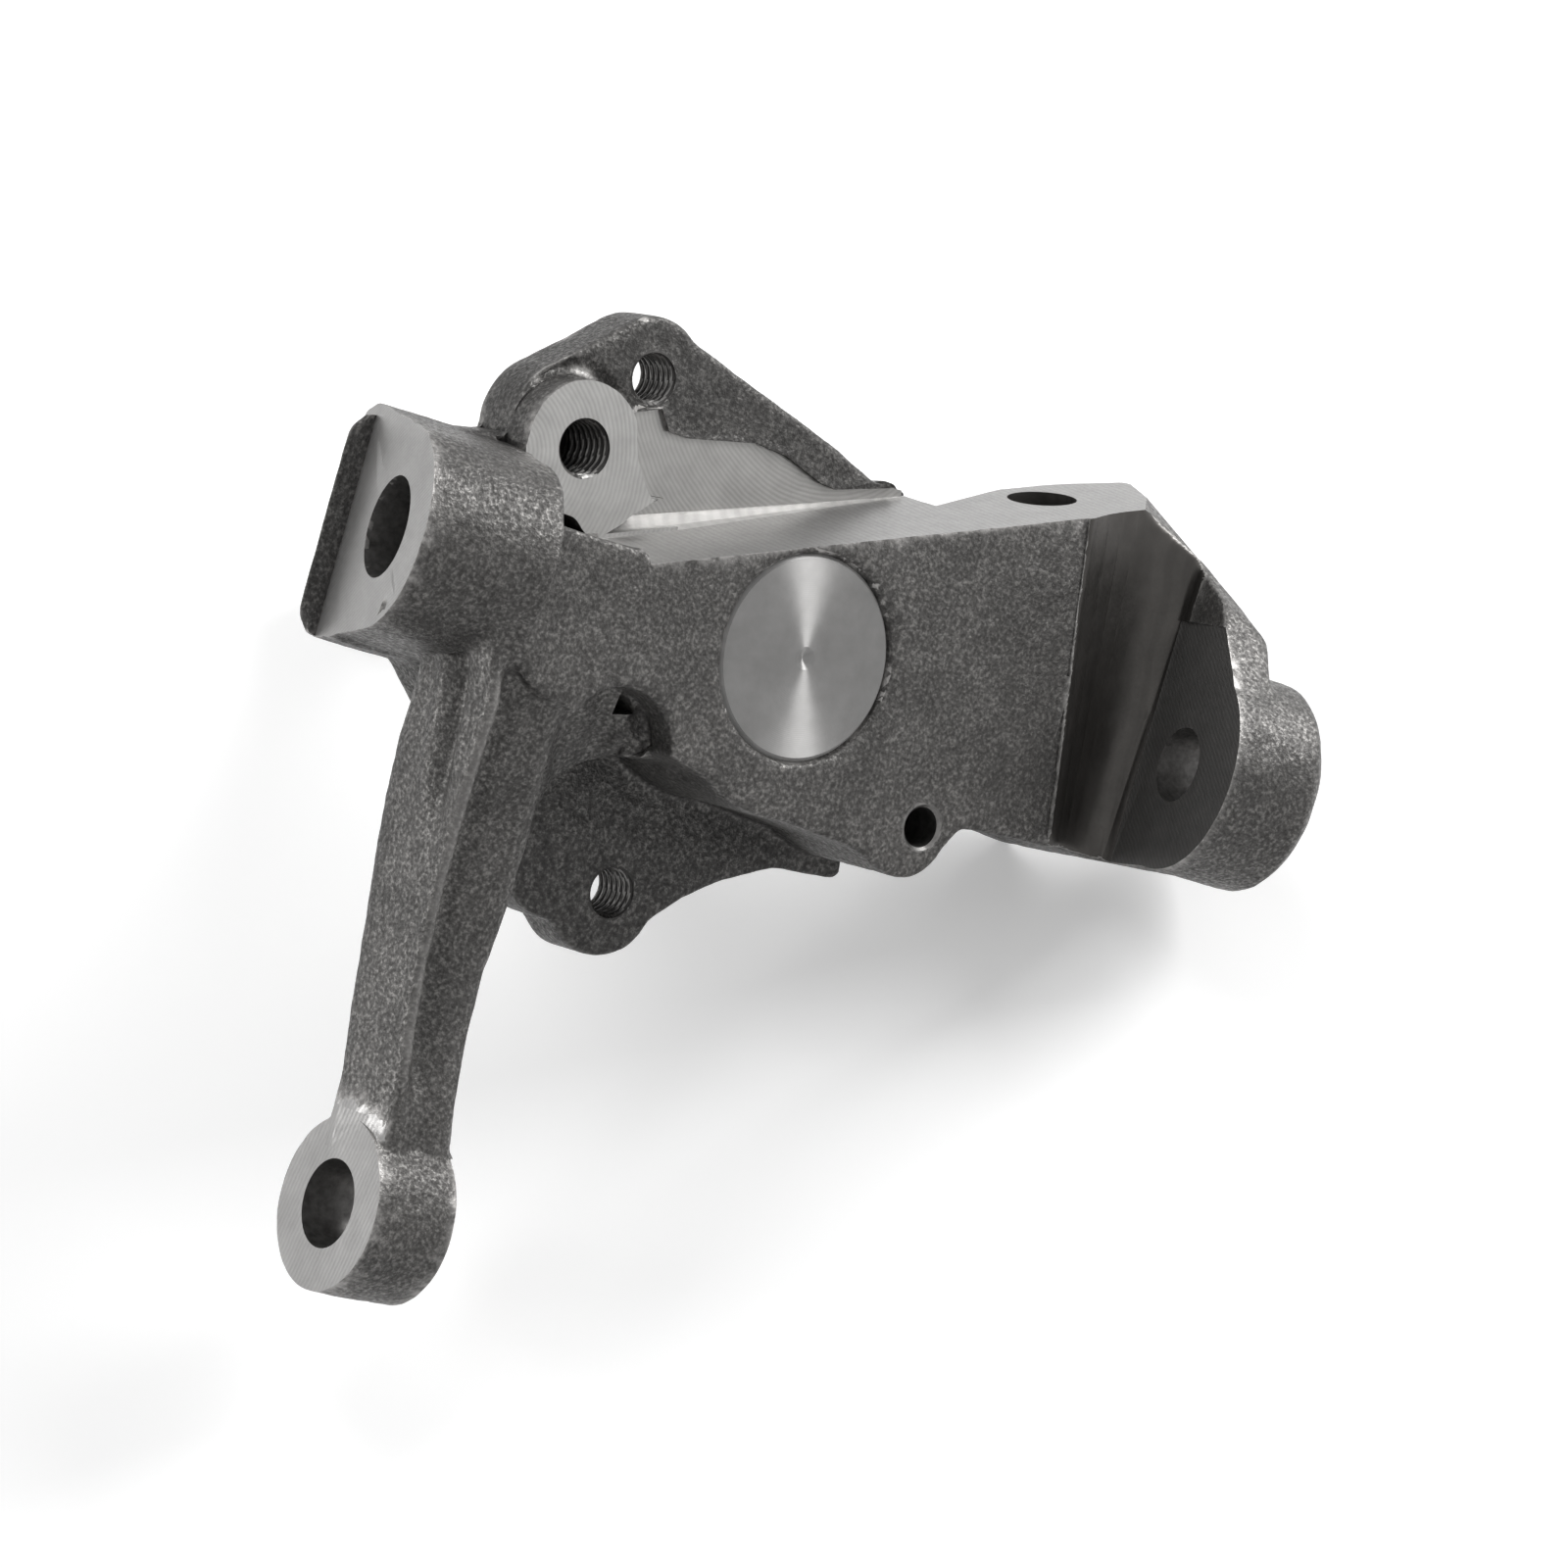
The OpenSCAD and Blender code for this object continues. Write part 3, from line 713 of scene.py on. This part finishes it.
# Milled faces: colour, roughness, pitch and depth of the lines, and their turn or the middle of their rings
MILLED = {
    "boss": dict(colour=(0.43, 0.425, 0.415), rough=0.34, pitch=0.9, depth=0.03, rings_at=(-20, 0, -60)),
    "pocket": dict(colour=(0.36, 0.355, 0.345), rough=0.36, pitch=0.9, depth=0.02, rings_at=(-60, 0, 10)),
    "pad": dict(colour=(0.30, 0.295, 0.29), rough=0.38, pitch=0.8, depth=0.02, turn=(0, 50, 0)),
    "bevel": dict(colour=(0.44, 0.435, 0.43), rough=0.34, pitch=2.1, depth=0.02, turn=(0, 60, 0)),
    "lower": dict(colour=LIGHT_STEEL, rough=0.36, pitch=0.7, depth=0.015, turn=(0, 0, 35)),
    # The upper ball joint face is darker than the lower one: painted shade from the hollow round it.
    "upper": dict(colour=(0.22, 0.216, 0.212), rough=0.42, pitch=0.9, depth=0.03, turn=(0, 0, -40)),
    "tie": dict(colour=LIGHT_STEEL, rough=0.36, pitch=1.0, depth=0.025, turn=(0, 0, 75)),
    # The hollow for the nut: its near-black colour is partly a darker milled skin and partly painted shade
    # of the hollow.
    "recess": dict(colour=(0.072, 0.068, 0.064), rough=0.42, pitch=2.2, depth=0.08, turn=(0, 0, 90)),
}
LOOKS = {name: milled_material("milled_" + name, **look) for name, look in MILLED.items()}
LOOKS["tie_top"] = LOOKS["tie"]
LOOKS["flange"] = LOOKS["lower"]
LOOKS["hub_end"] = LOOKS["lower"]


def dress_knuckle(obj):
    """Gives each face of the forging the look of how it was made."""
    mesh = obj.data
    mesh.materials.clear()
    names = ["forged", "bored", "groove"] + list(LOOKS)
    for material in [FORGED, BORED, GROOVE_SHADE] + list(LOOKS.values()):
        mesh.materials.append(material)
    centre = read(mesh.polygons, "center", 3).astype(float) / MM
    normal = read(mesh.polygons, "normal", 3).astype(float)
    slot = np.zeros(len(centre), np.int32)
    slot[hole_distance(centre) < 0.75] = names.index("bored")
    # The thread roots of the three tapped holes take the painted shade.
    for place, radius in ((UPPER_HOLE, FLANGE_BORE), (FRONT_HOLE, FLANGE_BORE), (BOSS_HOLE, BOSS_BORE)):
        across = np.hypot(centre[:, 0] - place[0], centre[:, 2] - place[1])
        deep = (across > radius + 0.3) & (across < radius + 0.9)
        slot[deep & (slot == names.index("bored"))] = names.index("groove")
    slot[boss_foot(centre)] = names.index("pocket")
    slot[near_bevel(centre) & (normal @ PAD_OUT > 0.6)] = names.index("bevel")
    slot[recess_mask(centre, normal)] = names.index("recess")
    for name, mask in flat_masks(centre, normal, 0.12).items():
        slot[mask] = names.index(name)
    mesh.polygons.foreach_set("material_index", slot)
    smooth_faces = (slot <= names.index("groove")) | (slot == names.index("recess"))
    mesh.polygons.foreach_set("use_smooth", smooth_faces)
    mesh.set_sharp_from_angle(angle=math.radians(38))
    # Rubbed steel with a painted highlight along the edges where milled faces meet the forging skin.
    mark_wear_and_highlight_edges(mesh, slot, names.index("forged"), names.index("groove"))
    mesh.update()


def mark_wear_and_highlight_edges(mesh, slot, forged, last_rough):
    """Writes a mask of rubbed steel and painted edge highlight, 1 where milled faces end and fading
    outwards, and "fine", 0 round wide forged faces.
    """
    loops = read(mesh.loops, "vertex_index", 1, np.int32)
    sizes = read(mesh.polygons, "loop_total", 1, np.int32)
    areas = read(mesh.polygons, "area", 1, float)
    slots = np.repeat(slot, sizes)
    count = len(mesh.vertices)
    least = np.full(count, len(mesh.materials))
    most = np.full(count, -1)
    np.minimum.at(least, loops, slots)
    np.maximum.at(most, loops, slots)
    wide = np.repeat((slot == forged) & (areas > WIDE_FACE), sizes)
    fine = np.ones(count, np.float32)
    fine[loops[wide]] = 0
    wear_and_highlight = ((least == forged) & (most > last_rough)).astype(float)
    pairs = edge_pairs(mesh)
    for fade in (0.45, 0.2):
        near = np.zeros(count)
        np.maximum.at(near, pairs[:, 0], wear_and_highlight[pairs[:, 1]])
        np.maximum.at(near, pairs[:, 1], wear_and_highlight[pairs[:, 0]])
        wear_and_highlight = np.maximum(wear_and_highlight, fade * near)
    for name, values in (("wear_and_highlight", wear_and_highlight * fine), ("fine", fine)):
        layer = mesh.attributes.new(name, "FLOAT", "POINT")
        layer.data.foreach_set("value", values.astype(np.float32))


def ring(y, radius, around):
    """Corners of one ring round the Y axis."""
    turns = [2 * math.pi * i / around for i in range(around)]
    return [(radius * math.cos(a), y, radius * math.sin(a)) for a in turns]


def pin_thread(around, start, end, pitch, top):
    """Rings of corners that make a thread, and how many rings there are."""
    count = int((end - start) / pitch * 10)
    verts = []
    for j in range(count + 1):
        y = start + (end - start) * j / count
        fade = min(1.0, j / 6, (count - j) / 6)
        for i in range(around):
            turn = ((y - start) / pitch - i / around) % 1
            r = top - 0.65 * fade * max(0.0, 1.4 * abs(2 * turn - 1) - 0.25)
            a = 2 * math.pi * i / around
            verts.append((r * math.cos(a), y, r * math.sin(a)))
    return verts, count + 1


def pin_object():
    """The wheel pin turned about Y, with a centre mark, a real thread and its cotter hole."""
    shank, collar, seal, inner, outer = 19.0, 23.0, 19.0, 15.875, 9.525
    inboard, collar_in, collar_out, outboard = -SHOULDER, -12, -7, 90
    centre_mark = [(inboard + 1, 0.05), (inboard + 0.9, 0.7), (inboard + 0.35, 1.5),
                   (inboard, 2.1), (inboard, 2.6)]
    pressed = [(inboard, 10), (inboard, shank - 0.8), (inboard + 0.8, shank), (collar_in, shank)]
    flange = [(collar_in, collar - 0.8), (collar_in + 0.8, collar), (collar_out - 0.8, collar),
              (collar_out, collar - 0.8)]
    seats = [(collar_out, seal), (-0.8, seal), (0, seal - 0.8), (0, inner), (22, inner), (22.6, inner - 0.6),
             (53, outer + 0.8), (54, outer), (70, outer), (70.8, outer - 0.5)]
    rows = centre_mark + pressed + flange + seats
    tail = [(outboard, outer - 2), (outboard, 0.05)]
    around = 144
    thread, thread_rings = pin_thread(around, 71.6, 88.0, 1.27, outer - 0.3)
    verts = [corner for y, r in rows for corner in ring(y, r, around)]
    verts += thread
    verts += [corner for y, r in tail for corner in ring(y, r, around)]
    faces = tube_faces(len(rows) + thread_rings + len(tail), around)
    obj = new_object("wheel_pin", np.array(verts) * MM, faces)
    bpy.ops.mesh.primitive_cylinder_add(
        radius=1.9 * MM, depth=0.04, vertices=40, location=(0, 83 * MM, 0), rotation=(0, math.pi / 2, 0))
    drill = bpy.context.object
    cut(obj, drill)
    mesh = obj.data
    mesh.materials.clear()
    mesh.materials.append(turned_material())
    mesh.polygons.foreach_set("use_smooth", np.ones(len(mesh.polygons), bool))
    mesh.polygons.foreach_set("material_index", np.zeros(len(mesh.polygons), np.int32))
    mesh.set_sharp_from_angle(angle=math.radians(30))
    return obj


forging = forged_knuckle()
dress_knuckle(forging)
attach(forging, "root")
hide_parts("knuckle")

pin = pin_object()
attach(pin, "root")
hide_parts("spindle_pin")


# Camera, as fitted to the photo

CAMERA_AT = Vector((0.033907, -0.726592, -0.513804))
CAMERA_RIGHT = Vector((-0.269181, -0.59179, 0.75982))
CAMERA_UP = Vector((-0.963001, 0.154669, -0.220697))
CAMERA_BACK = Vector((0.013086, -0.791115, -0.611528))
CAMERA_LENS = 107.33


def oriented(at, right, up, back):
    turn = Matrix((right, up, back)).transposed().to_4x4()
    return Matrix.Translation(at) @ turn


scene = bpy.context.scene
camera = bpy.data.objects.new("camera", bpy.data.cameras.new("camera"))
camera.data.sensor_width = 36
camera.data.lens = CAMERA_LENS
camera.data.clip_start = 0.01
camera.matrix_world = oriented(CAMERA_AT, CAMERA_RIGHT, CAMERA_UP, CAMERA_BACK)
scene.collection.objects.link(camera)
scene.camera = camera


# Floor: it touches the upper boss, the tie rod boss and the pin's end

FLOOR_UP = Vector((-0.6064, -0.46161, -0.64745)).normalized()
FLOOR_OFFSET = -0.0490
FLOOR_SIZE = 3.0
FLOOR_GREY = 0.86
FLOOR_GLOW = 0.33


def floor_object():
    side = FLOOR_UP.cross(CAMERA_RIGHT).normalized()
    other = FLOOR_UP.cross(side).normalized()
    middle = FLOOR_UP * FLOOR_OFFSET
    signs = ((-1, -1), (1, -1), (1, 1), (-1, 1))
    corners = [middle + side * a * FLOOR_SIZE + other * b * FLOOR_SIZE for a, b in signs]
    obj = new_object("floor", [tuple(c) for c in corners], [(0, 1, 2, 3)])
    if obj.data.polygons[0].normal.dot(FLOOR_UP) < 0:
        obj.data.flip_normals()
    return obj


def seen_directly(tree):
    """1 for camera, glossy and transmission rays, 0 for the rest."""
    path = tree.nodes.new("ShaderNodeLightPath")
    first = tree.nodes.new("ShaderNodeMath")
    first.operation = "MAXIMUM"
    second = tree.nodes.new("ShaderNodeMath")
    second.operation = "MAXIMUM"
    tree.links.new(path.outputs["Is Camera Ray"], first.inputs[0])
    tree.links.new(path.outputs["Is Glossy Ray"], first.inputs[1])
    tree.links.new(first.outputs[0], second.inputs[0])
    tree.links.new(path.outputs["Is Transmission Ray"], second.inputs[1])
    return second.outputs[0]


def floor_material():
    material = bpy.data.materials.new("floor")
    material.use_nodes = True
    tree = material.node_tree
    tree.nodes.clear()
    diffuse = tree.nodes.new("ShaderNodeBsdfDiffuse")
    diffuse.inputs["Color"].default_value = (FLOOR_GREY, FLOOR_GREY, FLOOR_GREY, 1)
    glow = tree.nodes.new("ShaderNodeEmission")
    strength = tree.nodes.new("ShaderNodeMath")
    strength.operation = "MULTIPLY"
    tree.links.new(seen_directly(tree), strength.inputs[0])
    strength.inputs[1].default_value = FLOOR_GLOW
    tree.links.new(strength.outputs[0], glow.inputs["Strength"])
    both = tree.nodes.new("ShaderNodeAddShader")
    tree.links.new(diffuse.outputs[0], both.inputs[0])
    tree.links.new(glow.outputs[0], both.inputs[1])
    clear = tree.nodes.new("ShaderNodeBsdfTransparent")
    geometry = tree.nodes.new("ShaderNodeNewGeometry")
    pick = tree.nodes.new("ShaderNodeMixShader")
    tree.links.new(geometry.outputs["Backfacing"], pick.inputs[0])
    tree.links.new(both.outputs[0], pick.inputs[1])
    tree.links.new(clear.outputs[0], pick.inputs[2])
    out = tree.nodes.new("ShaderNodeOutputMaterial")
    tree.links.new(pick.outputs[0], out.inputs["Surface"])
    return material


floor = floor_object()
floor.data.materials.append(floor_material())


# Light: a key from the upper right, a box on the left, a weak one above, and a pale world

LOOK_AT = Vector((0.02, -0.045, 0.005))
LIGHT_FAR = 0.9
WORLD_LIGHT = 0.26


def soft_box(name, towards, size, power):
    light = bpy.data.lights.new(name, "AREA")
    light.shape = "SQUARE"
    light.size = size
    light.energy = power
    obj = bpy.data.objects.new(name, light)
    obj.location = LOOK_AT + Vector(towards).normalized() * LIGHT_FAR
    obj.rotation_euler = (LOOK_AT - obj.location).to_track_quat("-Z", "Y").to_euler()
    scene.collection.objects.link(obj)


soft_box("key_box", (-0.80, -0.45, 0.40), 0.40, 7.5)
soft_box("left_box", CAMERA_BACK * 0.35 - CAMERA_RIGHT * 0.9 + CAMERA_UP * 0.15, 0.5, 3.5)
soft_box("top_box", CAMERA_UP * 0.9 + CAMERA_BACK * 0.25 - CAMERA_RIGHT * 0.2, 0.5, 2.5)

world = bpy.data.worlds.new("studio")
scene.world = world
world.use_nodes = True
background = world.node_tree.nodes["Background"]
spread = world.node_tree.nodes.new("ShaderNodeMath")
spread.operation = "MULTIPLY_ADD"
spread.inputs[1].default_value = 1 - WORLD_LIGHT
spread.inputs[2].default_value = WORLD_LIGHT
world.node_tree.links.new(seen_directly(world.node_tree), spread.inputs[0])
world.node_tree.links.new(spread.outputs[0], background.inputs["Strength"])
background.inputs["Color"].default_value = (1, 1, 1, 1)

scene.view_settings.view_transform = "Standard"
